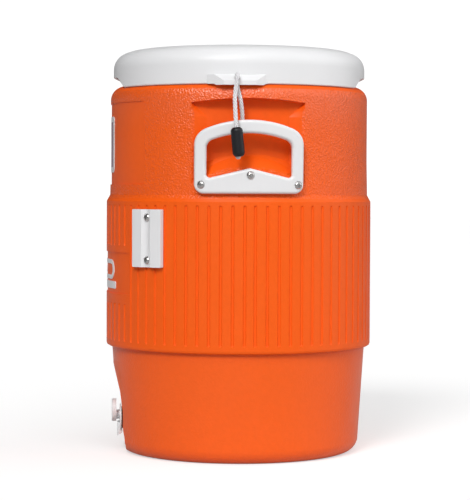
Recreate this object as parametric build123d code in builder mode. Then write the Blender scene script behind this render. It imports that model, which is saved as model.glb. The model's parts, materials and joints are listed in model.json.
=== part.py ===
from build123d import *
import os
from math import asin, cos, degrees, radians, sin, sqrt, tan

# Insulated drinks jug with a press-fit lid, two screwed handles, a cup-holder bracket and a
# push-button spigot. Millimetres, +Z up, origin at the centre of the base's contact plane.
# The spigot faces -Y and the handles stand at +X and -X.

os.makedirs("parts", exist_ok=True)

# ---- driving dimensions ----
HEIGHT = 475.8
WALL = 3.0
GAP = 0.3

RIM_Z = 433.0
SHOULDER_R = 153.0
SHOULDER_FILLET = 16.0
MOUTH_R = 128.2
WAIST_R = 152.9
WAIST_Z = 345.0
BAND_R = 157.8
BAND_TOP_Z = 297.5
BAND_CHAMFER_Z = 305.0
BAND_LOW_Z = 129.7
LEDGE_Z = 125.4
LOWER_TOP_R = 150.9
BASE_R = 143.9
BASE_CORNER_Z = 17.5
FOOT_R = 127.0
FOOT_IN_R = 107.0
FOOT_RECESS = 3.0

REAR_GROOVES = 36
REAR_GROOVE_FIRST = 2.5
REAR_GROOVE_STEP = 5.0
FRONT_GROOVES = 37
FRONT_GROOVE_FIRST = -178.2
FRONT_GROOVE_STEP = 4.9
GROOVE_R = 1.9
GROOVE_OFFSET = 0.25
GROOVE_TOP_Z = 293.5
GROOVE_LOW_Z = 134.8
PANEL_HALF_ANGLE = 33.0
PANEL_LOW_Z = 190.0
PANEL_TOP_Z = 238.0
PANEL_DEPTH = 1.2
SMOOTH_HALF_ANGLE = 40.8
SMOOTH_LOW_Z = 317.0
SMOOTH_TOP_Z = 412.0
SMOOTH_DEPTH = 0.9
FRONT = -90.0

LINER_LOW_R = 122.0
LINER_TOP_R = 125.0
LINER_WALL = 2.8
LINER_FLOOR_Z = 20.5
LINER_FLANGE_R = 136.5
LINER_FLANGE_Z = 435.6
TANK_PAD_Y = 119.8

RECESS_FLOOR_X = 133.5
RECESS_CROWN = 3.5
RECESS_HALF_FLOOR = 47.0
RECESS_HALF = 64.5
RECESS_EDGE_X = 139.2
RECESS_TOP_Z = 413.8
RECESS_TIP_Z = 409.0
RECESS_NECK_HALF = 46.0
RECESS_NECK_Z = 393.0
# The ramp below the recess's floor: X, height at the middle and height at the sides of each section.
RAMP_SECTIONS = ((132.5, 358.5, 324.5), (138.5, 349.3, 315.3), (158.0, 329.5, 295.0))

HANDLE_BACK_R = 153.9
HANDLE_LOW_R = 161.5
HANDLE_TOP_R = 167.0
HANDLE_LOW_Z = 306.7
HANDLE_TOP_Z = 389.0
HANDLE_HALF = 61.3
HANDLE_CROWN_R = 130.0
HANDLE_SHOULDER_R = 20.0
HANDLE_ROUND = 3.4
POST_IN = 47.8
OPENING_TOP_Z = 374.2
OPENING_PEAK_Z = 335.2
OPENING_LOW_Z = 323.6
OPENING_CROWN_R = 120.0
OPENING_SHOULDER_R = 10.0
HANDLE_SCREWS = ((-54.0, 316.6), (0.9, 327.1), (55.2, 316.4))

BRACKET_ANGLE = -44.6
BRACKET_WIDTH = 43.8
BRACKET_LOW_Z = 222.8
BRACKET_TOP_Z = 288.6
BRACKET_BACK = 158.3
BRACKET_FRONT = 163.6
BRACKET_SCREW_Z = (230.8, 279.2)
BRACKET_CHANNEL_R = 9.0
BRACKET_CHANNEL_DEPTH = 3.0
BRACKET_EDGE = 0.7

FLANGE_Z = 38.2
FLANGE_R = 16.5
FLANGE_FRONT = 141.8
FLANGE_BACK = 140.0
FLAT_Y = 138.5
SHANK_R = 12.0
BORE_R = 9.0
STEM_Z = 42.0
STEM_R = 2.2
BUTTON_R = 13.4
BUTTON_Z = 47.4
BUTTON_FRONT = 151.3
BUTTON_BACK = 145.9
SHANK_END = 111.0
NUT_R = 17.0

SKIRT_R = 149.6
SKIRT_LOW_Z = 429.6
LID_TURN = -4.1
LID_WALL = 2.7
DOME_CORNER_R = 20.0
DOME_Z = 453.0
DOME_SHOULDER_R = 47.0
DOME_BREAK = 65.0
PLUG_R = 124.2
PLUG_LOW_Z = 408.0
LID_FLANGE_Z = 437.6
LID_RIM_Z = 444.6
LID_STEP_R = 137.5
LID_PAN = 2.5

TAB_Y = -10.6
TAB_R = 157.5
TAB_LOW_Z = 428.0
TETHER_HOLE = (153.4, -14.0)
TETHER_HOLE_R = 3.4
CORD_D = 5.2

CLAMP_R = 6.8
CLAMP_LENGTH = 33.2
CLAMP_END_R = 4.8
CLAMP_LOW = (173.9, -13.0, 347.4)
CLAMP_TOP = (173.9, -16.2, 380.5)

SCREW_HEAD_R = 4.5
HEAD_SEAT = 0.6
SCREW_HEAD_H = 2.6
SCREW_SHANK_R = 2.0
SCREW_LENGTH = 15.0

PLUG_X = 60.0
FILL_PLUG_R = 14.0

LABEL_WIDTH = 62.4
LABEL_LOW_Z = 331.0
LABEL_TOP_Z = 396.6
LABEL_THICK = 0.5
EMBLEM_RING_WIDTH = 97.0
EMBLEM_RING_LOW_Z = 206.0
EMBLEM_RING_TOP_Z = 229.2
EMBLEM_STROKE = 5.0
EMBLEM_BAR_WIDTH = 107.0
EMBLEM_BAR_LOW_Z = 195.2
EMBLEM_BAR_TOP_Z = 203.8
EMBLEM_THICK = 0.6

# The tether's centreline, from one end inside the clamp round to the other end inside it.
TETHER = [
    (173.9, -15.6, 372.0),
    (173.9, -16.6, 384.5),
    (170.8, -17.2, 400.0),
    (166.0, -17.4, 414.0),
    (163.6, -15.8, 426.6),
    (164.4, -14.0, 439.4),
    (153.4, -14.0, 439.4),
    (153.8, -13.8, 425.2),
    (157.3, -10.9, 414.5),
    (152.4, -8.2, 401.0),
    (148.0, -7.4, 386.0),
    (149.2, -9.4, 370.0),
    (156.6, -12.6, 357.5),
    (163.8, -14.8, 347.2),
    (173.8, -12.4, 347.2),
    (174.0, -14.0, 358.0),
]


def plane_out(angle, r, z):
    """A plane square to the radius at that angle, with x along the tangent and y up."""
    a = radians(angle)
    return Plane(origin=(r * cos(a), r * sin(a), z), x_dir=(-sin(a), cos(a), 0), z_dir=(cos(a), sin(a), 0))


def plane_radial(angle):
    """A half-plane through the Z axis at that angle, with x along the radius and y up."""
    a = radians(angle)
    return Plane(origin=(0, 0, 0), x_dir=(cos(a), sin(a), 0), z_dir=(sin(a), -cos(a), 0))


def sector(angle_from, angle_over, r_in, r_out, z_low, z_high):
    """A piece of a ring about the Z axis."""
    with BuildPart() as ring:
        with BuildSketch(plane_radial(angle_from)):
            with Locations(((r_in + r_out) / 2, (z_low + z_high) / 2)):
                Rectangle(r_out - r_in, z_high - z_low)
        revolve(axis=Axis.Z, revolution_arc=angle_over)
    return ring.part


def finish(piece, name):
    """Labels a piece and writes it to its own file."""
    piece.part.label = name
    export_step(piece.part, f"parts/{name}.step")
    solids = piece.part.solids()
    print(f"{name}: {len(solids)} solid(s), {piece.part.volume / 1000:.2f} cm3")


# ---- the shell's outer form and its hollow ----
with BuildPart() as outer_form:
    with BuildSketch(Plane.XZ):
        with BuildLine():
            Polyline((0, RIM_Z), (0, FOOT_RECESS), (FOOT_IN_R - 3, FOOT_RECESS), (FOOT_IN_R, 0), (FOOT_R, 0))
            TangentArc((FOOT_R, 0), (BASE_R, BASE_CORNER_Z), tangent=(1, 0))
            Polyline(
                (BASE_R, BASE_CORNER_Z),
                (LOWER_TOP_R, LEDGE_Z),
                (BAND_R - 2.6, LEDGE_Z + 1.0),
                (BAND_R - 0.6, LEDGE_Z + 2.2),
                (BAND_R, BAND_LOW_Z),
                (BAND_R, BAND_TOP_Z),
                (WAIST_R + 0.8, BAND_CHAMFER_Z),
                (WAIST_R, WAIST_Z),
                (SHOULDER_R, RIM_Z - SHOULDER_FILLET),
            )
            TangentArc(
                (SHOULDER_R, RIM_Z - SHOULDER_FILLET), (SHOULDER_R - SHOULDER_FILLET, RIM_Z), tangent=(0, 1)
            )
            Line((SHOULDER_R - SHOULDER_FILLET, RIM_Z), (0, RIM_Z))
        make_face()
    revolve(axis=Axis.Z)


def hollow(margin, mouth):
    """The space inside the shell's wall, shrunk by a margin, with a mouth of that radius."""
    floor = FOOT_RECESS + WALL + margin
    inset = WALL + margin
    top = RIM_Z - inset
    with BuildPart() as space:
        with BuildSketch(Plane.XZ):
            with BuildLine():
                Polyline(
                    (0, RIM_Z + 1),
                    (0, floor),
                    (FOOT_IN_R - 1, floor),
                    (FOOT_IN_R + 2, inset),
                    (FOOT_R, inset),
                )
                TangentArc((FOOT_R, inset), (BASE_R - inset, BASE_CORNER_Z), tangent=(1, 0))
                Polyline(
                    (BASE_R - inset, BASE_CORNER_Z),
                    (LOWER_TOP_R - inset, LEDGE_Z + 1),
                    (BAND_R - inset - GROOVE_R, BAND_LOW_Z + 3),
                    (BAND_R - inset - GROOVE_R, BAND_TOP_Z - 2),
                    (WAIST_R + 0.6 - inset, BAND_CHAMFER_Z - 2),
                    (WAIST_R - inset, WAIST_Z),
                    (SHOULDER_R - inset, RIM_Z - SHOULDER_FILLET),
                )
                TangentArc(
                    (SHOULDER_R - inset, RIM_Z - SHOULDER_FILLET),
                    (SHOULDER_R - SHOULDER_FILLET, top),
                    tangent=(0, 1),
                )
                Polyline(
                    (SHOULDER_R - SHOULDER_FILLET, top), (mouth, top), (mouth, RIM_Z + 1), (0, RIM_Z + 1)
                )
            make_face()
        revolve(axis=Axis.Z)
    return space.part


# ---- finger recess behind a handle, on the +X side ----
def recess_outline(half_top, half_low):
    """The recess seen from the front: an arched top over sides that draw in below its tips."""
    with BuildLine() as outline:
        ThreePointArc((-half_top, RECESS_TIP_Z), (0, RECESS_TOP_Z), (half_top, RECESS_TIP_Z))
        Polyline(
            (half_top, RECESS_TIP_Z),
            (half_low, RECESS_NECK_Z),
            (half_low, HANDLE_LOW_Z),
            (-half_low, HANDLE_LOW_Z),
            (-half_low, RECESS_NECK_Z),
            (-half_top, RECESS_TIP_Z),
        )
    return outline.line


with BuildPart() as recess:
    with BuildSketch(Plane.YZ.offset(RECESS_FLOOR_X), mode=Mode.PRIVATE) as floor_face:
        with BuildLine():
            add(recess_outline(RECESS_HALF - 1, RECESS_NECK_HALF))
        make_face()
    with BuildSketch(Plane.YZ.offset(RECESS_EDGE_X), mode=Mode.PRIVATE) as edge_face:
        with BuildLine():
            add(recess_outline(RECESS_HALF, RECESS_HALF - 0.3))
        make_face()
    loft([floor_face.sketch, edge_face.sketch], ruled=True)
    extrude(edge_face.sketch, amount=40)
    with BuildSketch(Plane.XY.offset(HANDLE_LOW_Z - 5)):
        with BuildLine():
            ThreePointArc(
                (RECESS_FLOOR_X, -RECESS_HALF_FLOOR),
                (RECESS_FLOOR_X + RECESS_CROWN, 0),
                (RECESS_FLOOR_X, RECESS_HALF_FLOOR),
            )
            Line((RECESS_FLOOR_X, RECESS_HALF_FLOOR), (RECESS_FLOOR_X, -RECESS_HALF_FLOOR))
        make_face()
    extrude(amount=120, mode=Mode.SUBTRACT)
    ramp_faces = []
    for x, peak_z, side_z in RAMP_SECTIONS:
        with BuildSketch(Plane.YZ.offset(x), mode=Mode.PRIVATE) as ramp_face:
            with BuildLine():
                ThreePointArc((-66, side_z), (0, peak_z), (66, side_z))
                Polyline((66, side_z), (66, 280), (-66, 280), (-66, side_z))
            make_face()
        ramp_faces.append(ramp_face.sketch)
    loft(ramp_faces, ruled=True, mode=Mode.SUBTRACT)


def recess_block(margin):
    """The wall behind a finger recess, as a block that the recess is then cut from."""
    block_back = RECESS_FLOOR_X - WALL - margin
    with BuildPart() as block:
        with BuildSketch(Plane.XY.offset(HANDLE_LOW_Z - margin)):
            with Locations(((block_back + 152) / 2, 0)):
                Rectangle(152 - block_back, 2 * (RECESS_HALF + WALL + margin))
        extrude(amount=RECESS_TOP_Z + WALL + 2 * margin - HANDLE_LOW_Z)
        add(outer_form.part, mode=Mode.INTERSECT)
    return block.part


def spigot_pad(margin):
    """The thick wall behind the spigot's flat."""
    with BuildPart() as pad:
        with Locations((0, -140, 57)):
            Box(84 + 2 * margin, 13 + 2 * margin, 100 + 2 * margin)
        add(outer_form.part, mode=Mode.INTERSECT)
    return pad.part


def bracket_bosses(margin):
    """The two bosses behind the band that hold the bracket's screws."""
    with BuildPart() as bosses:
        for z in BRACKET_SCREW_Z:
            with BuildSketch(plane_out(BRACKET_ANGLE, BAND_R - 18 - margin, z)):
                Circle(6 + margin)
            extrude(amount=14 + margin)
    return bosses.part


with BuildPart() as long_groove:
    length = GROOVE_TOP_Z - GROOVE_LOW_Z - 2 * GROOVE_R
    with Locations((0, 0, (GROOVE_TOP_Z + GROOVE_LOW_Z) / 2)):
        Cylinder(GROOVE_R, length)
    with Locations((0, 0, GROOVE_TOP_Z - GROOVE_R), (0, 0, GROOVE_LOW_Z + GROOVE_R)):
        Sphere(GROOVE_R)

with BuildPart() as short_grooves:
    for low, high in ((GROOVE_LOW_Z, 179.0), (246.0, GROOVE_TOP_Z)):
        with Locations((0, 0, (low + high) / 2)):
            Cylinder(GROOVE_R, high - low - 2 * GROOVE_R)
        with Locations((0, 0, low + GROOVE_R), (0, 0, high - GROOVE_R)):
            Sphere(GROOVE_R)

# The two halves of the band have slightly different grooves, on each side of the mould's parting line.
long_groove_angles = [REAR_GROOVE_FIRST + k * REAR_GROOVE_STEP for k in range(REAR_GROOVES)]
short_groove_angles = []
for k in range(FRONT_GROOVES):
    angle = FRONT_GROOVE_FIRST + k * FRONT_GROOVE_STEP
    if abs(angle - FRONT) < PANEL_HALF_ANGLE:
        short_groove_angles.append(angle)
    else:
        long_groove_angles.append(angle)

# The flat behind the spigot leans back towards the top, where it runs out of the wall.
flat_profile = [
    (-170, -5),
    (-134.6, -5),
    (-134.6, 6),
    (-FLAT_Y, 28),
    (-FLAT_Y, 46),
    (-142.0, 73),
    (-150.4, 108),
    (-170, 108),
]

handle_screw_places = []
for y, z in HANDLE_SCREWS:
    head_r = HANDLE_LOW_R + (z - HANDLE_LOW_Z) * (HANDLE_TOP_R - HANDLE_LOW_R) / (HANDLE_TOP_Z - HANDLE_LOW_Z)
    handle_screw_places.append(plane_out(degrees(asin(y / head_r)), head_r - HEAD_SEAT, z))

bracket_screw_places = []
for z in BRACKET_SCREW_Z:
    bracket_screw_places.append(
        plane_out(BRACKET_ANGLE, BRACKET_FRONT - BRACKET_CHANNEL_DEPTH - 0.1, z)
    )


def half_turn(place):
    """The same plane, turned half round the Z axis to the other handle."""
    o, x, n = place.origin, place.x_dir, place.z_dir
    return Plane(origin=(-o.X, -o.Y, o.Z), x_dir=(-x.X, -x.Y, 0), z_dir=(-n.X, -n.Y, 0))


far_screw_places = [half_turn(place) for place in handle_screw_places]
all_screw_places = handle_screw_places + far_screw_places + bracket_screw_places


def screw_room(places):
    """The screws' pilot holes, and the room in front of them for their heads."""
    with BuildPart() as holes:
        for place in places:
            with BuildSketch(place):
                Circle(SCREW_SHANK_R + 0.05)
            extrude(amount=-SCREW_LENGTH - 1)
            with BuildSketch(place):
                Circle(SCREW_HEAD_R + 0.1)
            extrude(amount=6)
    return holes.part


with BuildPart() as outer_shell:
    add(outer_form.part)
    add(hollow(0, MOUTH_R), mode=Mode.SUBTRACT)
    add(recess_block(0))
    add(mirror(recess_block(0), about=Plane.YZ, mode=Mode.PRIVATE))
    add(spigot_pad(0))
    add(bracket_bosses(0))
    add(recess.part, mode=Mode.SUBTRACT)
    add(mirror(recess.part, about=Plane.YZ, mode=Mode.PRIVATE), mode=Mode.SUBTRACT)
    with BuildSketch(Plane.YZ.offset(-45)):
        Polygon(*flat_profile, align=None)
    extrude(amount=90, mode=Mode.SUBTRACT)
    with BuildSketch(Plane.XZ.offset(FLAT_Y)):
        with Locations((0, FLANGE_Z)):
            Circle(FLANGE_R + 2.5)
    extrude(amount=20, mode=Mode.SUBTRACT)
    with BuildSketch(Plane.XZ.offset(100)):
        with Locations((0, FLANGE_Z)):
            Circle(SHANK_R + GAP)
    extrude(amount=50, mode=Mode.SUBTRACT)
    panel_from = FRONT - PANEL_HALF_ANGLE
    panel_over = 2 * PANEL_HALF_ANGLE
    panel_r = BAND_R - PANEL_DEPTH
    add(sector(panel_from, panel_over, panel_r, BAND_R + 2, PANEL_LOW_Z, PANEL_TOP_Z), mode=Mode.SUBTRACT)
    smooth_from = FRONT - SMOOTH_HALF_ANGLE
    smooth_r = WAIST_R - SMOOTH_DEPTH
    add(
        sector(smooth_from, 2 * SMOOTH_HALF_ANGLE, smooth_r, WAIST_R + 2, SMOOTH_LOW_Z, SMOOTH_TOP_Z),
        mode=Mode.SUBTRACT,
    )
    for angles, groove in ((long_groove_angles, long_groove), (short_groove_angles, short_grooves)):
        with Locations(*[plane_out(angle, BAND_R + GROOVE_OFFSET, 0).origin for angle in angles]):
            add(groove.part, mode=Mode.SUBTRACT)
    add(screw_room(all_screw_places), mode=Mode.SUBTRACT)
    with Locations((PLUG_X, 0, 0)):
        Cylinder(FILL_PLUG_R, 40, mode=Mode.SUBTRACT)
finish(outer_shell, "outer_shell")

# ---- base plug of the foam-filling hole ----
with BuildPart() as base_fill_plug:
    with BuildSketch(Plane.XY.offset(1.0)):
        with Locations((PLUG_X, 0)):
            Circle(FILL_PLUG_R + 4)
    extrude(amount=FOOT_RECESS - 1.0)
    with BuildSketch(Plane.XY.offset(FOOT_RECESS)):
        with Locations((PLUG_X, 0)):
            Circle(FILL_PLUG_R)
    extrude(amount=WALL)
    chamfer(base_fill_plug.edges().group_by(Axis.Z)[0], 0.6)
finish(base_fill_plug, "base_fill_plug")

# ---- food-grade tank ----
with BuildPart() as inner_liner:
    with BuildSketch(Plane.XZ):
        with BuildLine():
            Polyline(
                (0, LINER_FLOOR_Z - LINER_WALL),
                (LINER_LOW_R, LINER_FLOOR_Z - LINER_WALL),
                (LINER_LOW_R + LINER_WALL, LINER_FLOOR_Z),
                (LINER_TOP_R + LINER_WALL, RIM_Z),
                (LINER_FLANGE_R, RIM_Z),
                (LINER_FLANGE_R, LINER_FLANGE_Z),
                (LINER_TOP_R, LINER_FLANGE_Z),
                (LINER_LOW_R, LINER_FLOOR_Z),
                (0, LINER_FLOOR_Z),
                close=True,
            )
        make_face()
    revolve(axis=Axis.Z)
    with BuildSketch(Plane.XZ.offset(TANK_PAD_Y)):
        with Locations((0, FLANGE_Z)):
            Circle(NUT_R + 0.6)
    extrude(amount=4)
    with BuildSketch(Plane.XZ.offset(100)):
        with Locations((0, FLANGE_Z)):
            Circle(SHANK_R + GAP)
    extrude(amount=40, mode=Mode.SUBTRACT)
finish(inner_liner, "inner_liner")

# ---- insulation between the shell and the tank ----
with BuildPart() as body_foam:
    add(hollow(GAP, MOUTH_R))
    with BuildSketch(Plane.XZ):
        with BuildLine():
            Polyline(
                (0, LINER_FLOOR_Z - LINER_WALL - GAP),
                (LINER_LOW_R, LINER_FLOOR_Z - LINER_WALL - GAP),
                (LINER_LOW_R + LINER_WALL + GAP, LINER_FLOOR_Z),
                (LINER_TOP_R + LINER_WALL + GAP, RIM_Z - WALL),
                (LINER_TOP_R + LINER_WALL + GAP, RIM_Z + 5),
                (0, RIM_Z + 5),
                close=True,
            )
        make_face()
    revolve(axis=Axis.Z, mode=Mode.SUBTRACT)
    with BuildSketch(Plane.XY.offset(RIM_Z - WALL - GAP)):
        Circle(200)
    extrude(amount=20, mode=Mode.SUBTRACT)
    add(recess_block(GAP), mode=Mode.SUBTRACT)
    add(mirror(recess_block(GAP), about=Plane.YZ, mode=Mode.PRIVATE), mode=Mode.SUBTRACT)
    add(spigot_pad(GAP), mode=Mode.SUBTRACT)
    add(bracket_bosses(GAP), mode=Mode.SUBTRACT)
    with BuildSketch(Plane.XZ.offset(100)):
        with Locations((0, FLANGE_Z)):
            Circle(SHANK_R + GAP)
    extrude(amount=50, mode=Mode.SUBTRACT)
finish(body_foam, "body_foam")

# ---- handles ----
def arch(half, crown_z, crown_r, shoulder_r, foot_z):
    """An arched outline: two sides, a shoulder arc above each and one crown arc, all tangent."""
    centre_z = crown_z - crown_r
    shoulder_x = half - shoulder_r
    reach = crown_r - shoulder_r
    shoulder_z = centre_z + sqrt(reach**2 - shoulder_x**2)
    meet_x = shoulder_x * crown_r / reach
    meet_z = centre_z + (shoulder_z - centre_z) * crown_r / reach
    with BuildLine() as outline:
        Line((half, foot_z), (half, shoulder_z))
        TangentArc((half, shoulder_z), (meet_x, meet_z), tangent=(0, 1))
        ThreePointArc((meet_x, meet_z), (0, crown_z), (-meet_x, meet_z))
        TangentArc((-half, shoulder_z), (-meet_x, meet_z), tangent=(0, 1))
        Line((-half, shoulder_z), (-half, foot_z))
    return outline.line


with BuildPart() as handle_right:
    with BuildSketch(plane_radial(-30)):
        Polygon(
            (HANDLE_BACK_R, HANDLE_LOW_Z - 5),
            (HANDLE_LOW_R, HANDLE_LOW_Z - 5),
            (HANDLE_TOP_R, HANDLE_TOP_Z + 5),
            (HANDLE_BACK_R, HANDLE_TOP_Z + 5),
            align=None,
        )
    revolve(axis=Axis.Z, revolution_arc=60)
    with BuildSketch(Plane.YZ.offset(100)) as handle_outline:
        with BuildLine():
            add(arch(HANDLE_HALF, HANDLE_TOP_Z, HANDLE_CROWN_R, HANDLE_SHOULDER_R, HANDLE_LOW_Z))
            Line((HANDLE_HALF, HANDLE_LOW_Z), (-HANDLE_HALF, HANDLE_LOW_Z))
        make_face()
        fillet(handle_outline.vertices().group_by(Axis.Y)[0], 10.5)
    extrude(amount=90, mode=Mode.INTERSECT)
    with BuildSketch(Plane.YZ.offset(100)) as finger_opening:
        with BuildLine():
            add(arch(POST_IN, OPENING_TOP_Z, OPENING_CROWN_R, OPENING_SHOULDER_R, OPENING_LOW_Z))
            Polyline((POST_IN, OPENING_LOW_Z), (0, OPENING_PEAK_Z), (-POST_IN, OPENING_LOW_Z))
        make_face()
        fillet(finger_opening.vertices().group_by(Axis.Y)[0], 3.5)
        fillet(finger_opening.vertices().sort_by_distance((0, OPENING_PEAK_Z))[0], 6)
    extrude(amount=90, mode=Mode.SUBTRACT)
    front_face = handle_right.faces().filter_by(GeomType.CONE)[0]
    fillet(front_face.edges(), HANDLE_ROUND)
    add(screw_room(handle_screw_places), mode=Mode.SUBTRACT)
finish(handle_right, "handle_right")

with BuildPart() as handle_left:
    with Locations(Rotation(0, 0, 180)):
        add(handle_right.part)
finish(handle_left, "handle_left")

# ---- pan-head screws with a cross recess ----
with BuildPart() as screw:
    with BuildSketch(Plane.XZ):
        with BuildLine():
            Line((0, -SCREW_LENGTH), (SCREW_SHANK_R - 1.2, -SCREW_LENGTH))
            Line((SCREW_SHANK_R - 1.2, -SCREW_LENGTH), (SCREW_SHANK_R, -SCREW_LENGTH + 3))
            Line((SCREW_SHANK_R, -SCREW_LENGTH + 3), (SCREW_SHANK_R, 0))
            Line((SCREW_SHANK_R, 0), (SCREW_HEAD_R, 0))
            Line((SCREW_HEAD_R, 0), (SCREW_HEAD_R, 0.8))
            ThreePointArc((SCREW_HEAD_R, 0.8), (SCREW_HEAD_R - 1.0, 2.0), (0, SCREW_HEAD_H))
            Line((0, SCREW_HEAD_H), (0, -SCREW_LENGTH))
        make_face()
    revolve(axis=Axis.Z)
    with Locations((0, 0, SCREW_HEAD_H - 0.5)):
        Box(4.8, 1.1, 2.4, mode=Mode.SUBTRACT)
        Box(1.1, 4.8, 2.4, mode=Mode.SUBTRACT)

for name, places in (
    ("handle_screws_right", handle_screw_places),
    ("handle_screws_left", far_screw_places),
    ("bracket_screws", bracket_screw_places),
):
    with BuildPart() as screws:
        with Locations(*[place.location for place in places]):
            add(screw.part)
    finish(screws, name)

# ---- bracket for a paper-cup holder ----
with BuildPart() as cup_bracket:
    add(
        sector(BRACKET_ANGLE - 12, 24, BRACKET_BACK, BRACKET_FRONT, BRACKET_LOW_Z - 2, BRACKET_TOP_Z + 2)
    )
    with BuildSketch(plane_out(BRACKET_ANGLE, 140, (BRACKET_LOW_Z + BRACKET_TOP_Z) / 2)):
        RectangleRounded(BRACKET_WIDTH, BRACKET_TOP_Z - BRACKET_LOW_Z, 1.0)
    extrude(amount=40, mode=Mode.INTERSECT)
    bracket_front = cup_bracket.faces().filter_by(GeomType.CYLINDER).sort_by(SortBy.AREA)[-1]
    chamfer(bracket_front.edges(), BRACKET_EDGE)
    channel_middle = plane_out(
        BRACKET_ANGLE, BRACKET_FRONT + BRACKET_CHANNEL_R - BRACKET_CHANNEL_DEPTH, BRACKET_LOW_Z - 5
    )
    with Locations(channel_middle.origin):
        Cylinder(
            BRACKET_CHANNEL_R,
            BRACKET_TOP_Z - BRACKET_LOW_Z + 10,
            align=(Align.CENTER, Align.CENTER, Align.MIN),
            mode=Mode.SUBTRACT,
        )
    add(screw_room(bracket_screw_places), mode=Mode.SUBTRACT)
finish(cup_bracket, "cup_bracket")

# ---- lid ----
with BuildPart() as tether_tab:
    with BuildSketch(Plane.XY.offset(TAB_LOW_Z)):
        with Locations((0, TAB_Y)):
            Polygon((135, -37), (144, -36), (TAB_R, -18.5), (TAB_R, 18.5), (144, 36), (135, 37), align=None)
    extrude(amount=20)
    fillet(tether_tab.edges().filter_by(Axis.Z).group_by(Axis.X)[-1], 4)
    with BuildSketch(Plane.XZ.offset(-60)):
        Polygon(
            (130, SKIRT_LOW_Z),
            (SKIRT_R - 0.6, SKIRT_LOW_Z),
            (SKIRT_R + 1.8, TAB_LOW_Z),
            (TAB_R, TAB_LOW_Z),
            (TAB_R, SKIRT_LOW_Z + 3.0),
            (SKIRT_R - 0.6, SKIRT_LOW_Z + 10.5),
            (130, SKIRT_LOW_Z + 10.5),
            align=None,
        )
    extrude(amount=120, mode=Mode.INTERSECT)


def dome_section(inset, foot_z):
    """Half of the dome's section: a side, two arcs over the corner and a crown, all tangent but the last."""
    corner_r = DOME_CORNER_R - inset
    shoulder_r = DOME_SHOULDER_R - inset
    side_r = SKIRT_R - inset
    turn = radians(DOME_BREAK)
    corner_x = SKIRT_R - DOME_CORNER_R
    meet = (corner_x + corner_r * cos(turn), DOME_Z + corner_r * sin(turn))
    shoulder_x = meet[0] - shoulder_r * cos(turn)
    shoulder_z = meet[1] - shoulder_r * sin(turn)
    crown_edge = (shoulder_x, shoulder_z + shoulder_r)
    rise = HEIGHT - inset - crown_edge[1]
    crown_r = (crown_edge[0] ** 2 + rise**2) / (2 * rise)
    half_r = crown_edge[0] / 2
    crown_half = (half_r, HEIGHT - inset - crown_r + sqrt(crown_r**2 - half_r**2))
    with BuildLine() as section:
        Line((0, foot_z), (side_r, foot_z))
        Line((side_r, foot_z), (side_r, DOME_Z))
        TangentArc((side_r, DOME_Z), meet, tangent=(0, 1))
        TangentArc(crown_edge, meet, tangent=(1, 0))
        ThreePointArc(crown_edge, crown_half, (0, HEIGHT - inset))
        Line((0, HEIGHT - inset), (0, foot_z))
    return section.line


with BuildPart() as lid_cover:
    with BuildSketch(Plane.XZ):
        with BuildLine():
            add(dome_section(0, SKIRT_LOW_Z))
        make_face()
    revolve(axis=Axis.Z)
    chamfer(lid_cover.edges().group_by(Axis.Z)[0], 1.0)
    add(tether_tab.part)
    with BuildSketch(Plane.XZ):
        with BuildLine():
            add(dome_section(LID_WALL, SKIRT_LOW_Z - 5))
        make_face()
    revolve(axis=Axis.Z, mode=Mode.SUBTRACT)
    with BuildSketch(Plane.XZ):
        Polygon(
            (0, SKIRT_LOW_Z - 1),
            (SKIRT_R - 1.3, SKIRT_LOW_Z - 1),
            (SKIRT_R - 1.6, SKIRT_LOW_Z),
            (SKIRT_R - LID_WALL, SKIRT_LOW_Z + 2.2),
            (0, SKIRT_LOW_Z + 2.2),
            align=None,
        )
    revolve(axis=Axis.Z, mode=Mode.SUBTRACT)
    with BuildSketch(Plane.XZ.rotated((0, 0, LID_TURN)).offset(-170)):
        with BuildLine():
            Polyline((-52.5, 438.3), (-68.0, 428.5), (68.0, 428.5), (52.5, 438.3))
            TangentArc((52.5, 438.3), (42, 442.0), tangent=(-15.5, 9.8))
            ThreePointArc((42, 442.0), (0, 443.9), (-42, 442.0))
            TangentArc((-52.5, 438.3), (-42, 442.0), tangent=(15.5, 9.8))
        make_face()
    extrude(amount=340, mode=Mode.SUBTRACT)
    with Locations((TETHER_HOLE[0], TETHER_HOLE[1], TAB_LOW_Z)):
        Cylinder(TETHER_HOLE_R, 60, mode=Mode.SUBTRACT)
finish(lid_cover, "lid_cover")

# The lid's liner steps in above the seal, so that the cuts in the cover's skirt don't open the foam.
liner_edge_r = SKIRT_R - LID_WALL - 0.1
with BuildPart() as lid_liner:
    with BuildSketch(Plane.XZ):
        Polygon(
            (0, PLUG_LOW_Z),
            (PLUG_R - 4, PLUG_LOW_Z),
            (PLUG_R - 1, PLUG_LOW_Z + 3),
            (PLUG_R, PLUG_LOW_Z + 8),
            (PLUG_R, LID_FLANGE_Z),
            (LID_STEP_R, LID_FLANGE_Z),
            (LID_STEP_R, LID_RIM_Z),
            (liner_edge_r, LID_RIM_Z),
            (liner_edge_r, LID_RIM_Z + LID_PAN),
            (LID_STEP_R - LID_PAN, LID_RIM_Z + LID_PAN),
            (LID_STEP_R - LID_PAN, LID_FLANGE_Z + LID_PAN),
            (PLUG_R - LID_PAN, LID_FLANGE_Z + LID_PAN),
            (PLUG_R - LID_PAN, PLUG_LOW_Z + 9),
            (PLUG_R - LID_PAN - 1, PLUG_LOW_Z + 4),
            (PLUG_R - LID_PAN - 3, PLUG_LOW_Z + LID_PAN),
            (0, PLUG_LOW_Z + LID_PAN),
            align=None,
        )
    revolve(axis=Axis.Z)
finish(lid_liner, "lid_liner")

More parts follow.
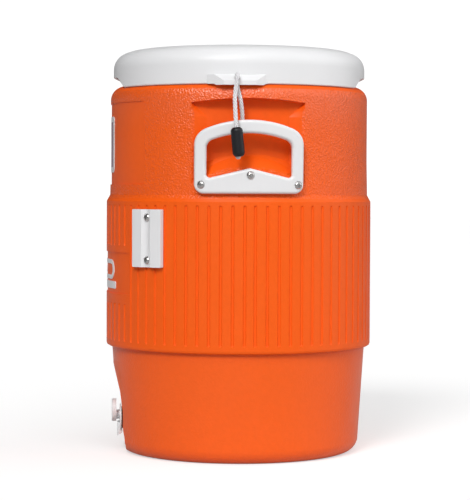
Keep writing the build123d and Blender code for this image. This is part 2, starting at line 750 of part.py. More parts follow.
foam_step_r = LID_STEP_R - LID_PAN - GAP
with BuildPart() as lid_foam:
    with BuildSketch(Plane.XZ):
        with BuildLine():
            add(dome_section(LID_WALL + GAP, LID_RIM_Z + LID_PAN + GAP))
        make_face()
        Polygon(
            (0, LID_RIM_Z + LID_PAN + GAP),
            (0, PLUG_LOW_Z + LID_PAN + GAP),
            (PLUG_R - LID_PAN - 4, PLUG_LOW_Z + LID_PAN + GAP),
            (PLUG_R - LID_PAN - 1, PLUG_LOW_Z + 9),
            (PLUG_R - LID_PAN - GAP, PLUG_LOW_Z + 14),
            (PLUG_R - LID_PAN - GAP, LID_FLANGE_Z + LID_PAN + GAP),
            (foam_step_r, LID_FLANGE_Z + LID_PAN + GAP),
            (foam_step_r, LID_RIM_Z + LID_PAN + GAP),
            align=None,
        )
    revolve(axis=Axis.Z)
finish(lid_foam, "lid_foam")

with BuildPart() as lid_seal:
    with BuildSketch(Plane.XY.offset(LINER_FLANGE_Z)):
        Circle(134)
        Circle(127, mode=Mode.SUBTRACT)
    extrude(amount=LID_FLANGE_Z - LINER_FLANGE_Z)
finish(lid_seal, "lid_seal")

# ---- spigot ----
spout_front = 144.6
spout_top_z = 33.4
guide_r = 5.8
guide_end = 135.0
bore_front = 133.0
passage_front = 143.5
passage_back = 139.6

with BuildPart() as spigot_body:
    with BuildSketch(Plane.XZ.offset(FLANGE_BACK)):
        with Locations((0, FLANGE_Z)):
            Circle(FLANGE_R)
    extrude(amount=FLANGE_FRONT - FLANGE_BACK)
    fillet(spigot_body.edges().filter_by(GeomType.CIRCLE).sort_by(Axis.Y)[0], 1.0)
    with BuildSketch(Plane.XZ.offset(SHANK_END)):
        with Locations((0, FLANGE_Z)):
            Circle(SHANK_R)
    extrude(amount=FLANGE_BACK - SHANK_END)
    with BuildSketch(Plane.YZ.offset(-7.5)):
        Polygon(
            (-FLANGE_BACK - 0.5, spout_top_z),
            (-spout_front, spout_top_z),
            (-spout_front, 17.2),
            (-passage_back + 0.8, 20.4),
            (-passage_back + 0.8, 22.6),
            (-FLANGE_BACK, 24.0),
            (-FLANGE_BACK - 0.5, 27),
            align=None,
        )
    extrude(amount=15)
    spout_edges = spigot_body.edges().filter_by(Axis.Z).group_by(Axis.Y)[0]
    fillet(spout_edges, 2.0)
    with BuildSketch(Plane.XZ.offset(SHANK_END)):
        with Locations((0, FLANGE_Z)):
            Circle(BORE_R)
    extrude(amount=bore_front - SHANK_END, mode=Mode.SUBTRACT)
    with BuildSketch(Plane.XZ.offset(guide_end)):
        with Locations((0, STEM_Z)):
            Circle(guide_r)
    extrude(amount=20, mode=Mode.SUBTRACT)
    with BuildSketch(Plane.XZ.offset(100)):
        with Locations((0, STEM_Z)):
            Circle(STEM_R + GAP)
    extrude(amount=60, mode=Mode.SUBTRACT)
    with BuildSketch(Plane.XY.offset(14)):
        with Locations((0, -(passage_front + passage_back) / 2)):
            SlotOverall(12.6, passage_front - passage_back)
    extrude(amount=18.2, mode=Mode.SUBTRACT)
    with BuildSketch(Plane.XZ.offset(130)):
        with Locations((0, 30.8)):
            Rectangle(10, 2.8)
    extrude(amount=12, mode=Mode.SUBTRACT)
finish(spigot_body, "spigot_body")

# The button's plunger is a hollow tube that slides in the housing's guide, over the spring.
with BuildPart() as spigot_button:
    with BuildSketch(Plane.XZ.offset(BUTTON_BACK)):
        with Locations((0, BUTTON_Z)):
            Circle(BUTTON_R)
    extrude(amount=BUTTON_FRONT - BUTTON_BACK)
    fillet(spigot_button.edges().filter_by(GeomType.CIRCLE).sort_by(Axis.Y)[0], 1.2)
    with BuildSketch(Plane.XZ.offset(140.4)):
        with Locations((0, STEM_Z)):
            Circle(guide_r - GAP)
    extrude(amount=BUTTON_BACK - 140.4)
    with BuildSketch(Plane.XZ.offset(130)):
        with Locations((0, STEM_Z)):
            Circle(4.6)
    extrude(amount=19, mode=Mode.SUBTRACT)
finish(spigot_button, "spigot_button")

with BuildPart() as spigot_stem:
    with BuildSketch(Plane.XZ.offset(107.0)):
        with Locations((0, STEM_Z)):
            Circle(STEM_R)
    extrude(amount=42.0)
finish(spigot_stem, "spigot_stem")

with BuildPart() as spigot_valve_seal:
    with BuildSketch(Plane.XZ.offset(SHANK_END - 3)):
        with Locations((0, FLANGE_Z)):
            Circle(BORE_R + 2)
        with Locations((0, STEM_Z)):
            Circle(STEM_R, mode=Mode.SUBTRACT)
    extrude(amount=3)
finish(spigot_valve_seal, "spigot_valve_seal")

with BuildPart() as spigot_stem_nut:
    with BuildSketch(Plane.XZ.offset(105.5)):
        with Locations((0, STEM_Z)):
            RegularPolygon(4.2, 6)
    extrude(amount=SHANK_END - 3 - 105.5)
    with BuildSketch(Plane.XZ.offset(107)):
        with Locations((0, STEM_Z)):
            Circle(STEM_R)
    extrude(amount=3, mode=Mode.SUBTRACT)
finish(spigot_stem_nut, "spigot_stem_nut")

spring_front = 149.0
spring_r = 3.7
spring_wire_r = 0.4
spring_length = spring_front - guide_end - 1.2 - 2 * spring_wire_r
with BuildPart() as spigot_spring:
    with BuildLine():
        coil = Helix(
            pitch=spring_length / 5,
            height=spring_length,
            radius=spring_r,
            center=(0, -guide_end - 1.2 - spring_wire_r, STEM_Z),
            direction=(0, -1, 0),
        )
    with BuildSketch(Plane(origin=coil @ 0, z_dir=coil % 0)):
        Circle(spring_wire_r)
    sweep()
finish(spigot_spring, "spigot_spring")

with BuildPart() as spigot_stem_oring:
    with BuildSketch(Plane.XZ.offset(guide_end)):
        with Locations((0, STEM_Z)):
            Circle(guide_r - 0.2)
            Circle(STEM_R + GAP, mode=Mode.SUBTRACT)
    extrude(amount=1.1)
finish(spigot_stem_oring, "spigot_stem_oring")

with BuildPart() as spigot_outer_gasket:
    with BuildSketch(Plane.XZ.offset(FLAT_Y)):
        with Locations((0, FLANGE_Z)):
            Circle(FLANGE_R - 3)
            Circle(SHANK_R, mode=Mode.SUBTRACT)
    extrude(amount=FLANGE_BACK - FLAT_Y)
finish(spigot_outer_gasket, "spigot_outer_gasket")

with BuildPart() as spigot_inner_gasket:
    with BuildSketch(Plane.XZ.offset(TANK_PAD_Y - 2)):
        with Locations((0, FLANGE_Z)):
            Circle(NUT_R - 1)
            Circle(SHANK_R, mode=Mode.SUBTRACT)
    extrude(amount=2)
finish(spigot_inner_gasket, "spigot_inner_gasket")

with BuildPart() as spigot_nut:
    with BuildSketch(Plane.XZ.offset(TANK_PAD_Y - 8)):
        with Locations((0, FLANGE_Z)):
            RegularPolygon(NUT_R, 8)
            Circle(SHANK_R, mode=Mode.SUBTRACT)
    extrude(amount=6)
finish(spigot_nut, "spigot_nut")

# ---- printed label and emblem ----
label_half = degrees(asin(LABEL_WIDTH / 2 / smooth_r)) + 1
with BuildPart() as front_label:
    add(
        sector(
            FRONT - label_half,
            2 * label_half,
            smooth_r,
            smooth_r + LABEL_THICK,
            LABEL_LOW_Z,
            LABEL_TOP_Z,
        )
    )
    with BuildSketch(Plane.XZ.offset(140)):
        with Locations((0, (LABEL_LOW_Z + LABEL_TOP_Z) / 2)):
            RectangleRounded(LABEL_WIDTH, LABEL_TOP_Z - LABEL_LOW_Z, 5)
    extrude(amount=20, mode=Mode.INTERSECT)
finish(front_label, "front_label")

# A plain mark: a ring with a drop in it, over a bar.
ring_height = EMBLEM_RING_TOP_Z - EMBLEM_RING_LOW_Z
ring_z = (EMBLEM_RING_LOW_Z + EMBLEM_RING_TOP_Z) / 2
hole_height = ring_height - 2 * EMBLEM_STROKE
bar_z = (EMBLEM_BAR_LOW_Z + EMBLEM_BAR_TOP_Z) / 2
emblem_half = degrees(asin(EMBLEM_BAR_WIDTH / 2 / panel_r)) + 1
with BuildPart() as band_emblem:
    add(
        sector(
            FRONT - emblem_half,
            2 * emblem_half,
            panel_r,
            panel_r + EMBLEM_THICK,
            EMBLEM_BAR_LOW_Z,
            EMBLEM_RING_TOP_Z,
        )
    )
    with BuildSketch(Plane.XZ.offset(140)):
        with Locations((0, ring_z)):
            RectangleRounded(EMBLEM_RING_WIDTH, ring_height, ring_height / 2 - 0.2)
            RectangleRounded(
                EMBLEM_RING_WIDTH - 2 * EMBLEM_STROKE,
                hole_height,
                hole_height / 2 - 0.2,
                mode=Mode.SUBTRACT,
            )
        with Locations((0, ring_z - 1.4)):
            Circle(3.2)
        Polygon((-2.8, ring_z), (2.8, ring_z), (0, ring_z + 5.2), align=None)
        with Locations((0, bar_z)):
            RectangleRounded(EMBLEM_BAR_WIDTH, EMBLEM_BAR_TOP_Z - EMBLEM_BAR_LOW_Z, 2)
    extrude(amount=30, mode=Mode.INTERSECT)
finish(band_emblem, "band_emblem")

# ---- lid tether ----
corners = [Vector(*point) for point in TETHER]
radii = []
for before, corner, after in zip(corners, corners[1:], corners[2:]):
    turn = radians((corner - before).get_angle(after - corner))
    shorter = min((corner - before).length, (after - corner).length)
    radii.append(min(0.45 * shorter / tan(turn / 2), 300))
print("tether radii in diameters:", [round(r / CORD_D, 1) for r in radii])
with BuildPart() as lid_tether_cord:
    with BuildLine():
        route = FilletPolyline(*corners, radius=radii)
    with BuildSketch(Plane(origin=route @ 0, z_dir=route % 0)) as cord_section:
        Circle(CORD_D / 2)
    sweep()
swept_share = lid_tether_cord.part.volume / (route.length * cord_section.sketch.area)
print(f"tether length {route.length:.1f}, volume against section times length {swept_share:.4f}")
finish(lid_tether_cord, "lid_tether_cord")

clamp_low = Vector(*CLAMP_LOW)
clamp_axis = (Vector(*CLAMP_TOP) - clamp_low).normalized()
for name, side in (("tether_clamp_outer", 1), ("tether_clamp_inner", -1)):
    with BuildPart() as clamp_half:
        with BuildSketch(Plane(origin=clamp_low, x_dir=(1, 0, 0), z_dir=clamp_axis)):
            Circle(CLAMP_R)
        extrude(amount=CLAMP_LENGTH)
        fillet(clamp_half.edges().filter_by(GeomType.CIRCLE), CLAMP_END_R)
        with BuildSketch(Plane(origin=clamp_low - clamp_axis, x_dir=(1, 0, 0), z_dir=clamp_axis)):
            with Locations((0.1, 0)):
                Circle(CORD_D / 2 + 1.0)
        extrude(amount=CLAMP_LENGTH + 2, mode=Mode.SUBTRACT)
        with BuildSketch(Plane.YZ.offset(clamp_low.X - CLAMP_R - 1)):
            with Locations(((TETHER[-3][1] + TETHER[-2][1]) / 2, TETHER[-2][2] + 0.4)):
                SlotOverall(CORD_D + 4.4, CORD_D + 1.6)
        extrude(amount=CLAMP_R + 1.5, mode=Mode.SUBTRACT)
        keep = Keep.TOP if side > 0 else Keep.BOTTOM
        split(bisect_by=Plane(origin=clamp_low, z_dir=(1, 0, 0)), keep=keep)
    finish(clamp_half, name)
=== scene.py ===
import json
import math

import bpy
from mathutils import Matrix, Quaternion, Vector


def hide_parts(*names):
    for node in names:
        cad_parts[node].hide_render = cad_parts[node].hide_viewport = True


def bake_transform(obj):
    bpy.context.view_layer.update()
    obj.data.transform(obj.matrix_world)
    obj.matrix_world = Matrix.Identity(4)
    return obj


# An insulated drinks jug: orange moulded shell, white lid, handles, bracket and spigot, and a
# braided tether from the right handle's clamp to the lid. Metres, in the CAD model's frame.

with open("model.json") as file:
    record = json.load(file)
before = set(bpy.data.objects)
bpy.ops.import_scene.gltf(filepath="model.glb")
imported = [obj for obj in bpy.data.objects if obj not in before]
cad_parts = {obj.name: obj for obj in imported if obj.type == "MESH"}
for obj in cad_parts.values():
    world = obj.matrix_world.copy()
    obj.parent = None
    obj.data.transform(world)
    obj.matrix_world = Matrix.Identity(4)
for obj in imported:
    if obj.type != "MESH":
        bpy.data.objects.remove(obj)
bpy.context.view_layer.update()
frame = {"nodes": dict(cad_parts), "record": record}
nodes = frame["nodes"]
scene = bpy.context.scene
scene.view_settings.view_transform = "Standard"

MM = 0.001

# ---- camera ----
CAMERA_PLACE = Vector((2.2284, -0.1715, 0.3104))
CAMERA_AIM = Vector((0.0, -0.0041, 0.2389))
CAMERA_LENS = 134.1
CAMERA_ROLL = math.radians(0.22)

camera_data = bpy.data.cameras.new("camera")
camera_data.lens = CAMERA_LENS
camera_data.sensor_width = 36.0
camera = bpy.data.objects.new("camera", camera_data)
scene.collection.objects.link(camera)
look = (CAMERA_AIM - CAMERA_PLACE).to_track_quat("-Z", "Y")
camera.location = CAMERA_PLACE
camera.rotation_mode = "QUATERNION"
camera.rotation_quaternion = look @ Quaternion((0, 0, 1), CAMERA_ROLL)
scene.camera = camera

# ---- the tether's route, the same points as the solid's, in millimetres ----
TETHER = [
    (173.9, -15.6, 372.0),
    (173.9, -16.6, 384.5),
    (170.8, -17.2, 400.0),
    (166.0, -17.4, 414.0),
    (163.6, -15.8, 426.6),
    (164.4, -14.0, 439.4),
    (153.4, -14.0, 439.4),
    (153.8, -13.8, 425.2),
    (157.3, -10.9, 414.5),
    (152.4, -8.2, 401.0),
    (148.0, -7.4, 386.0),
    (149.2, -9.4, 370.0),
    (156.6, -12.6, 357.5),
    (163.8, -14.8, 347.2),
    (173.8, -12.4, 347.2),
    (174.0, -14.0, 358.0),
]


def new_object(name, mesh):
    obj = bpy.data.objects.new(name, mesh)
    scene.collection.objects.link(obj)
    return obj


def spline_line(points):
    """The points of a smooth NURBS line that has these control points."""
    curve = bpy.data.curves.new("route", "CURVE")
    curve.dimensions = "3D"
    spline = curve.splines.new("NURBS")
    spline.points.add(len(points) - 1)
    for point, place in zip(spline.points, points):
        point.co = (*(Vector(place) * MM), 1)
    spline.order_u = 3
    spline.use_endpoint_u = True
    spline.resolution_u = 32
    route = bpy.data.objects.new("route", curve)
    scene.collection.objects.link(route)
    bpy.context.view_layer.update()
    mesh = bpy.data.meshes.new_from_object(route.evaluated_get(bpy.context.evaluated_depsgraph_get()))
    line = [v.co.copy() for v in mesh.vertices]
    bpy.data.objects.remove(route)
    bpy.data.curves.remove(curve)
    bpy.data.meshes.remove(mesh)
    return line


class Line:
    """A polyline with a place and an untwisted frame at each distance along it."""

    def __init__(self, points):
        self.points = points
        self.along = [0.0]
        for a, b in zip(points, points[1:]):
            self.along.append(self.along[-1] + (b - a).length)
        self.length = self.along[-1]
        self.frames = []
        tangent = (points[1] - points[0]).normalized()
        side = tangent.orthogonal().normalized()
        for i in range(len(points)):
            new_tangent = (points[min(i + 1, len(points) - 1)] - points[max(i - 1, 0)]).normalized()
            side = tangent.rotation_difference(new_tangent) @ side
            side = (side - new_tangent * side.dot(new_tangent)).normalized()
            tangent = new_tangent
            self.frames.append((tangent, side, tangent.cross(side)))
        self.at_index = 0

    def at(self, distance):
        if distance < self.along[self.at_index]:
            self.at_index = 0
        while self.at_index < len(self.points) - 2 and self.along[self.at_index + 1] < distance:
            self.at_index += 1
        i = self.at_index
        share = (distance - self.along[i]) / (self.along[i + 1] - self.along[i])
        place = self.points[i].lerp(self.points[i + 1], share)
        tangent = self.frames[i][0].lerp(self.frames[i + 1][0], share).normalized()
        side = self.frames[i][1].lerp(self.frames[i + 1][1], share)
        side = (side - tangent * side.dot(tangent)).normalized()
        return place, tangent, side, tangent.cross(side)


def add_tube(verts, faces, rings):
    """Joins rings of points into a closed tube."""
    first = len(verts)
    count = len(rings[0])
    for ring in rings:
        verts.extend(ring)
    for r in range(len(rings) - 1):
        for k in range(count):
            a = first + r * count + k
            b = first + r * count + (k + 1) % count
            faces.append((a, b, b + count, a + count))
    faces.append(tuple(first + k for k in reversed(range(count))))
    faces.append(tuple(first + (len(rings) - 1) * count + k for k in range(count)))


# A coarse braid of 8 strands over a core: half wind one way and half the other, each over one
# strand and under the next.
STRANDS_PER_WAY = 4
BRAID_PITCH = 17 * MM
BRAID_R = 1.62 * MM
BRAID_WAVE = 0.38 * MM
STRAND_HALF_WIDTH = 0.84 * MM
STRAND_HALF_THICK = 0.58 * MM
STRAND_SIDES = 8
STRAND_STEP = 0.4 * MM
CORE_R = 1.25 * MM
CORE_SIDES = 14
CORE_STEP = 1.0 * MM


def core_rings(line):
    """Rings of points round the cord's core."""
    count = int(line.length / CORE_STEP)
    rings = []
    for i in range(count + 1):
        place, _, side, up = line.at(line.length * i / count)
        ring = []
        for k in range(CORE_SIDES):
            turn = 2 * math.pi * k / CORE_SIDES
            ring.append(place + (side * math.cos(turn) + up * math.sin(turn)) * CORE_R)
        rings.append(ring)
    return rings


def strand_rings(line, way, strand):
    """Rings of points round one flat strand, which winds one way (1) or the other (-1)."""
    count = int(line.length / STRAND_STEP)
    lean = math.atan2(2 * math.pi * BRAID_R * way, BRAID_PITCH)
    rings = []
    for i in range(count + 1):
        distance = line.length * i / count
        place, tangent, side, up = line.at(distance)
        turn = 2 * math.pi * (way * distance / BRAID_PITCH + strand / STRANDS_PER_WAY)
        wave = math.cos(2 * math.pi * STRANDS_PER_WAY * distance / BRAID_PITCH)
        outward = side * math.cos(turn) + up * math.sin(turn)
        around = up * math.cos(turn) - side * math.sin(turn)
        across = around * math.cos(lean) - tangent * math.sin(lean)
        middle = place + outward * (BRAID_R + way * wave * BRAID_WAVE)
        ring = []
        for k in range(STRAND_SIDES):
            a = 2 * math.pi * k / STRAND_SIDES
            wide = across * (math.cos(a) * STRAND_HALF_WIDTH)
            thick = outward * (math.sin(a) * STRAND_HALF_THICK)
            ring.append(middle + (wide + thick))
        rings.append(ring)
    return rings


tether_line = Line(spline_line(TETHER))
cord_verts = []
cord_faces = []
add_tube(cord_verts, cord_faces, core_rings(tether_line))
for way in (1, -1):
    for strand in range(STRANDS_PER_WAY):
        add_tube(cord_verts, cord_faces, strand_rings(tether_line, way, strand))

cord_mesh = bpy.data.meshes.new("lid_tether_braid")
cord_mesh.from_pydata(cord_verts, [], cord_faces)
for polygon in cord_mesh.polygons:
    polygon.use_smooth = True
lid_tether = new_object("lid_tether_braid", cord_mesh)
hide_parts("lid_tether_cord")

# ---- materials ----
SHELL_COLOR = (0.94, 0.116, 0.005)
WHITE = (0.82, 0.822, 0.832)
BAND_LOW_Z = 126.4 * MM
BAND_TOP_Z = 300.0 * MM
SMOOTH_LOW_Z = 317.0 * MM
SMOOTH_TOP_Z = 412.0 * MM
SMOOTH_HALF_ANGLE = math.radians(40.8)
RECESS_R = 150.8 * MM
RECESS_LOW_Z = 306.0 * MM
FLAT_HALF = 46.0 * MM
FLAT_TOP_Z = 109.0 * MM
SHOULDER_LOW_Z = 372 * MM
SHOULDER_TOP_Z = 424 * MM
SMOOTH_GLOSS = 0.24
PEBBLED_GLOSS = 0.44
SHOULDER_GLOSS = 0.5
PEBBLE_DEPTH = 0.85 * MM
RIPPLE_DEPTH = 0.25 * MM
CELL_SMOOTHNESS = 0.4


class Nodes:
    """Short calls for building a material's node tree."""

    def __init__(self, name, color, roughness, metallic=0.0, gloss=0.35):
        self.mat = bpy.data.materials.new(name)
        self.mat.use_nodes = True
        self.tree = self.mat.node_tree
        self.bsdf = self.tree.nodes["Principled BSDF"]
        self.bsdf.inputs["Base Color"].default_value = (*color, 1)
        self.bsdf.inputs["Roughness"].default_value = roughness
        self.bsdf.inputs["Metallic"].default_value = metallic
        self.bsdf.inputs["Specular IOR Level"].default_value = gloss
        self.coords = self.tree.nodes.new("ShaderNodeTexCoord").outputs["Object"]

    def feed(self, socket, value):
        if isinstance(value, (int, float, tuple)):
            socket.default_value = value
        else:
            self.tree.links.new(value, socket)

    def math(self, operation, *values, clamp=False):
        node = self.tree.nodes.new("ShaderNodeMath")
        node.operation = operation
        node.use_clamp = clamp
        for socket, value in zip(node.inputs, values):
            self.feed(socket, value)
        return node.outputs[0]

    def noise(self, scale, detail=3.0, roughness=0.5):
        node = self.tree.nodes.new("ShaderNodeTexNoise")
        node.inputs["Scale"].default_value = scale
        node.inputs["Detail"].default_value = detail
        node.inputs["Roughness"].default_value = roughness
        self.feed(node.inputs["Vector"], self.coords)
        return node.outputs["Fac"]

    def cells(self, scale):
        node = self.tree.nodes.new("ShaderNodeTexVoronoi")
        node.feature = "SMOOTH_F1"
        node.inputs["Scale"].default_value = scale
        node.inputs["Smoothness"].default_value = CELL_SMOOTHNESS
        self.feed(node.inputs["Vector"], self.coords)
        return node.outputs["Distance"]

    def ramp(self, value, low, high, to_low=0.0, to_high=1.0):
        node = self.tree.nodes.new("ShaderNodeMapRange")
        node.interpolation_type = "SMOOTHSTEP"
        self.feed(node.inputs["Value"], value)
        self.feed(node.inputs["From Min"], low)
        self.feed(node.inputs["From Max"], high)
        self.feed(node.inputs["To Min"], to_low)
        self.feed(node.inputs["To Max"], to_high)
        return node.outputs["Result"]

    def mix(self, share, a, b):
        node = self.tree.nodes.new("ShaderNodeMix")
        node.data_type = "RGBA"
        self.feed(node.inputs[0], share)
        for socket, value in ((node.inputs[6], a), (node.inputs[7], b)):
            if isinstance(value, tuple):
                value = (*value, 1) if len(value) == 3 else value
            self.feed(socket, value)
        return node.outputs[2]

    def axes(self):
        node = self.tree.nodes.new("ShaderNodeSeparateXYZ")
        self.feed(node.inputs[0], self.coords)
        return node.outputs[0], node.outputs[1], node.outputs[2]

    def both(self, a, b):
        """The product: 1 only where both are 1."""
        return self.math("MULTIPLY", a, b)

    def length(self, a, b):
        """The distance from the origin in the plane of a and b."""
        return self.math("SQRT", self.math("ADD", self.both(a, a), self.both(b, b)))

    def color(self, value):
        self.feed(self.bsdf.inputs["Base Color"], value)

    def rough(self, value):
        self.feed(self.bsdf.inputs["Roughness"], value)

    def bump(self, height, distance, strength=1.0, normal=None):
        node = self.tree.nodes.new("ShaderNodeBump")
        node.inputs["Distance"].default_value = distance
        self.feed(node.inputs["Strength"], strength)
        self.feed(node.inputs["Height"], height)
        if normal is not None:
            self.feed(node.inputs["Normal"], normal)
        return node.outputs["Normal"]

    def normal(self, value):
        self.feed(self.bsdf.inputs["Normal"], value)


def shade(color, factor):
    return tuple(min(1.0, c * factor) for c in color)


def shell_material():
    """Moulded polyethylene: pebbled on the plain walls, smooth on the band, the label's panel, the
    finger recesses and the spigot's flat."""
    m = Nodes("shell_orange", SHELL_COLOR, 0.4, gloss=0.5)
    x, y, z = m.axes()
    above_band = m.ramp(z, BAND_TOP_Z, BAND_TOP_Z + 2 * MM)
    below_band = m.ramp(z, BAND_LOW_Z - 1 * MM, BAND_LOW_Z, 1.0, 0.0)
    plain = m.math("ADD", above_band, below_band)

    angle = m.math("ABSOLUTE", m.math("ARCTAN2", x, m.math("MULTIPLY", y, -1.0)))
    panel_sides = m.math("LESS_THAN", angle, SMOOTH_HALF_ANGLE)
    panel_height = m.both(m.math("GREATER_THAN", z, SMOOTH_LOW_Z), m.math("LESS_THAN", z, SMOOTH_TOP_Z))
    in_panel = m.both(panel_sides, panel_height)
    in_recess = m.both(
        m.math("LESS_THAN", m.length(x, y), RECESS_R), m.math("GREATER_THAN", z, RECESS_LOW_Z)
    )
    flat_sides = m.math("LESS_THAN", m.math("ABSOLUTE", x), FLAT_HALF)
    flat_height = m.math("LESS_THAN", z, FLAT_TOP_Z)
    in_flat = m.both(m.both(flat_sides, flat_height), m.math("LESS_THAN", y, 0.0))
    smooth = m.math("MAXIMUM", in_panel, m.math("MAXIMUM", in_recess, in_flat))
    pebbled = m.math("MULTIPLY", plain, m.math("SUBTRACT", 1.0, smooth), clamp=True)

    broad = m.noise(9.0, detail=2.0)
    fine = m.noise(160.0, detail=3.0)
    tone = m.mix(broad, shade(SHELL_COLOR, 0.95), shade(SHELL_COLOR, 1.04))
    m.color(m.mix(m.ramp(fine, 0.35, 0.65, 0.0, 0.12), tone, shade(SHELL_COLOR, 0.82)))

    uneven = m.ramp(m.noise(38.0), 0.3, 0.7, 0.38, 0.45)
    m.rough(m.math("SUBTRACT", uneven, m.math("MULTIPLY", pebbled, 0.08)))
    outside = m.math("SUBTRACT", plain, in_recess, clamp=True)
    shoulder = m.both(outside, m.ramp(z, SHOULDER_LOW_Z, SHOULDER_TOP_Z, 0.0, SHOULDER_GLOSS))
    gloss = m.math("ADD", m.ramp(outside, 0.0, 1.0, SMOOTH_GLOSS, PEBBLED_GLOSS), shoulder)
    m.feed(m.bsdf.inputs["Specular IOR Level"], gloss)

    pebble = m.math("ADD", m.cells(450.0), m.math("MULTIPLY", m.noise(640.0, detail=2.0), 0.7))
    patchy = m.ramp(m.noise(22.0), 0.35, 0.7, 0.2, 0.38)
    worn = m.math("ADD", m.math("MULTIPLY", above_band, 0.62), patchy)
    pebble_normal = m.bump(pebble, PEBBLE_DEPTH, m.both(pebbled, worn))
    m.normal(m.bump(m.noise(70.0, detail=2.0), RIPPLE_DEPTH, 0.2, normal=pebble_normal))
    return m.mat


def plastic_material(name, color, roughness, ripple=0.2, grain_scale=420.0, grain=0.04):
    """Satin moulded plastic with a faint ripple, fine grain and uneven gloss."""
    m = Nodes(name, color, roughness)
    m.color(m.mix(m.noise(14.0, detail=2.0), shade(color, 0.97), shade(color, 1.02)))
    m.rough(m.ramp(m.noise(45.0), 0.3, 0.7, roughness - 0.04, roughness + 0.05))
    grained = m.bump(m.noise(grain_scale, detail=3.0), grain * MM, 0.6)
    m.normal(m.bump(m.noise(55.0, detail=1.0), 0.2 * MM, ripple, normal=grained))
    return m.mat


def steel_material(name, color, roughness):
    m = Nodes(name, color, roughness, metallic=1.0)
    m.color(m.mix(m.noise(300.0), shade(color, 0.85), shade(color, 1.08)))
    m.rough(m.ramp(m.noise(900.0), 0.3, 0.7, roughness - 0.07, roughness + 0.1))
    m.normal(m.bump(m.noise(1600.0, detail=2.0), 0.02 * MM, 0.5))
    return m.mat


def soft_material(name, color, roughness, scale):
    m = Nodes(name, color, roughness)
    m.color(m.mix(m.noise(scale * 0.2), shade(color, 0.88), shade(color, 1.06)))
    m.rough(m.ramp(m.noise(scale * 0.5), 0.3, 0.7, roughness - 0.06, roughness + 0.06))
    m.normal(m.bump(m.noise(scale, detail=4.0), 0.1 * MM, 0.5))
    return m.mat


CORD_COLOR = (0.82, 0.81, 0.83)


def cord_material():
    """Braided polyester: fine mottled fibres, a slight sheen and faint dirt in patches."""
    m = Nodes("tether_cord", CORD_COLOR, 0.7)
    m.bsdf.inputs["Sheen Weight"].default_value = 0.15
    m.bsdf.inputs["Sheen Roughness"].default_value = 0.5
    fibres = m.noise(2600.0, detail=2.0, roughness=0.7)
    dirt = m.noise(60.0, detail=3.0)
    tone = m.mix(m.ramp(fibres, 0.3, 0.7), shade(CORD_COLOR, 0.8), shade(CORD_COLOR, 1.1))
    m.color(m.mix(m.ramp(dirt, 0.45, 0.75, 0.0, 0.3), tone, shade(CORD_COLOR, 0.72)))
    m.normal(m.bump(fibres, 0.08 * MM, 0.8))
    return m.mat


LABEL_HALF = 31.2 * MM
LABEL_MIDDLE_Z = 363.8 * MM
LABEL_HALF_HEIGHT = 32.8 * MM
LABEL_BORDER = 6.4 * MM
LABEL_FIELD = (0.42, 0.30, 0.36)
DROP_R = 8.5 * MM
DROP_BELOW = 4 * MM
DROP_TIP = 16 * MM
DROP_SLOPE = 0.55


def label_material():
    """Printed film: a white border round a plain field with a white drop on it."""
    m = Nodes("label_print", WHITE, 0.35)
    x, y, z = m.axes()
    up = m.math("SUBTRACT", z, LABEL_MIDDLE_Z)
    across = m.math("ABSOLUTE", x)
    inside = m.both(
        m.math("LESS_THAN", across, LABEL_HALF - LABEL_BORDER),
        m.math("LESS_THAN", m.math("ABSOLUTE", up), LABEL_HALF_HEIGHT - LABEL_BORDER),
    )
    low = m.math("ADD", up, DROP_BELOW)
    round_part = m.math("LESS_THAN", m.length(x, low), DROP_R)
    edge = m.math("MULTIPLY", m.math("SUBTRACT", DROP_TIP, up), DROP_SLOPE)
    cone_part = m.both(m.math("LESS_THAN", across, edge), m.math("GREATER_THAN", up, 0.0))
    drop = m.math("MAXIMUM", round_part, cone_part)
    field = m.mix(m.noise(220.0), shade(LABEL_FIELD, 0.94), shade(LABEL_FIELD, 1.06))
    paper = m.mix(m.noise(90.0), shade(WHITE, 0.96), shade(WHITE, 1.01))
    m.color(m.mix(m.math("MULTIPLY", inside, m.math("SUBTRACT", 1.0, drop)), paper, field))
    m.normal(m.bump(m.noise(900.0), 0.02 * MM, 0.5))
    return m.mat


MATERIALS = {
    "shell_orange": shell_material(),
    "white_plastic": plastic_material("white_plastic", WHITE, 0.36),
    "liner_plastic": plastic_material("liner_plastic", (0.86, 0.86, 0.84), 0.45),
    "foam": soft_material("foam", (0.86, 0.80, 0.62), 0.9, 500.0),
    "screw_steel": steel_material("screw_steel", (0.62, 0.61, 0.60), 0.3),
    "stainless": steel_material("stainless", (0.68, 0.68, 0.69), 0.25),
    "seal_rubber": soft_material("seal_rubber", (0.035, 0.035, 0.038), 0.62, 900.0),
    "valve_silicone": soft_material("valve_silicone", (0.72, 0.72, 0.70), 0.5, 700.0),
    "tether_cord": cord_material(),
    "clamp_black": plastic_material(
        "clamp_black", (0.010, 0.010, 0.013), 0.42, ripple=0.1, grain_scale=1400.0, grain=0.06
    ),
    "label_print": label_material(),
}
emblem_print = plastic_material("emblem_print", (0.82, 0.80, 0.81), 0.38, ripple=0.1)
for part in frame["record"]["subparts"]:
    obj = nodes[part["node"]]
    material = MATERIALS[part["material_slot"]]
    if part["node"] == "band_emblem":
        material = emblem_print
    obj.data.materials.clear()
    obj.data.materials.append(material)
cord_mesh.materials.append(MATERIALS["tether_cord"])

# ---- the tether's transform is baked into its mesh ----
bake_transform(lid_tether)

# ---- floor ----
FLOOR_SIZE = 40.0
FLOOR_GLOW = 0.53
floor_mesh = bpy.data.meshes.new("floor")
half = FLOOR_SIZE / 2
floor_mesh.from_pydata(
    [(-half, -half, 0), (half, -half, 0), (half, half, 0), (-half, half, 0)], [], [(0, 1, 2, 3)]
)
floor = new_object("floor", floor_mesh)
floor_look = Nodes("floor", (0.6, 0.6, 0.6), 0.9, gloss=0.0)
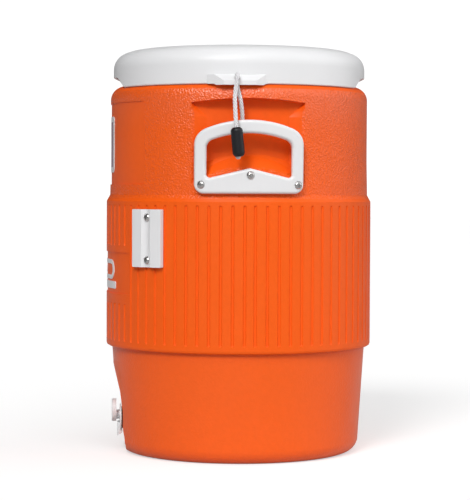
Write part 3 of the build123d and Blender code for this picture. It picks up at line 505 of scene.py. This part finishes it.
# The backdrop glows to the eye only, so that it stays white without lighting the jug from below.
seen_floor = floor_look.tree.nodes.new("ShaderNodeLightPath")
floor_look.bsdf.inputs["Emission Color"].default_value = (1, 1, 1, 1)
floor_look.feed(
    floor_look.bsdf.inputs["Emission Strength"],
    floor_look.math("MULTIPLY", seen_floor.outputs["Is Camera Ray"], FLOOR_GLOW),
)
floor_mesh.materials.append(floor_look.mat)

# ---- light ----
WORLD_STRENGTH = 0.12
BACKDROP_STRENGTH = 1.1
LIGHT_DISTANCE = 3
world = bpy.data.worlds.new("world")
scene.world = world
world.use_nodes = True
tree = world.node_tree
background = tree.nodes["Background"]
background.inputs["Color"].default_value = (1, 1, 1, 1)
seen = tree.nodes.new("ShaderNodeBackground")
seen.inputs["Color"].default_value = (1, 1, 1, 1)
seen.inputs["Strength"].default_value = BACKDROP_STRENGTH
ways = tree.nodes.new("ShaderNodeLightPath")
either = tree.nodes.new("ShaderNodeMixShader")
tree.links.new(ways.outputs["Is Camera Ray"], either.inputs[0])
tree.links.new(background.outputs[0], either.inputs[1])
tree.links.new(seen.outputs[0], either.inputs[2])
tree.links.new(either.outputs[0], tree.nodes["World Output"].inputs["Surface"])
# The room is darker on the spigot's side and brighter on the other.
sides = tree.nodes.new("ShaderNodeTexCoord")
split = tree.nodes.new("ShaderNodeSeparateXYZ")
level = tree.nodes.new("ShaderNodeMapRange")
tree.links.new(sides.outputs["Generated"], split.inputs[0])
tree.links.new(split.outputs[1], level.inputs["Value"])
level.inputs["From Min"].default_value = -1.0
level.inputs["From Max"].default_value = 1.0
level.inputs["To Min"].default_value = 0.4 * WORLD_STRENGTH
level.inputs["To Max"].default_value = 1.6 * WORLD_STRENGTH
tree.links.new(level.outputs["Result"], background.inputs["Strength"])


def window(name, azimuth, elevation, spread, strength):
    """A broad, distant light, as wide in the sky as its spread in degrees."""
    data = bpy.data.lights.new(name, "SUN")
    data.angle = math.radians(spread)
    data.energy = strength
    light = bpy.data.objects.new(name, data)
    scene.collection.objects.link(light)
    a, e = math.radians(azimuth), math.radians(elevation)
    out = Vector((math.cos(e) * math.cos(a), math.cos(e) * math.sin(a), math.sin(e)))
    light.location = out * LIGHT_DISTANCE
    light.rotation_mode = "QUATERNION"
    light.rotation_quaternion = (-out).to_track_quat("-Z", "Y")


window("key", -23, 36, 18, 1.6)
window("front", 4, 44, 50, 1.24)
window("fill", 80, 22, 60, 0.92)
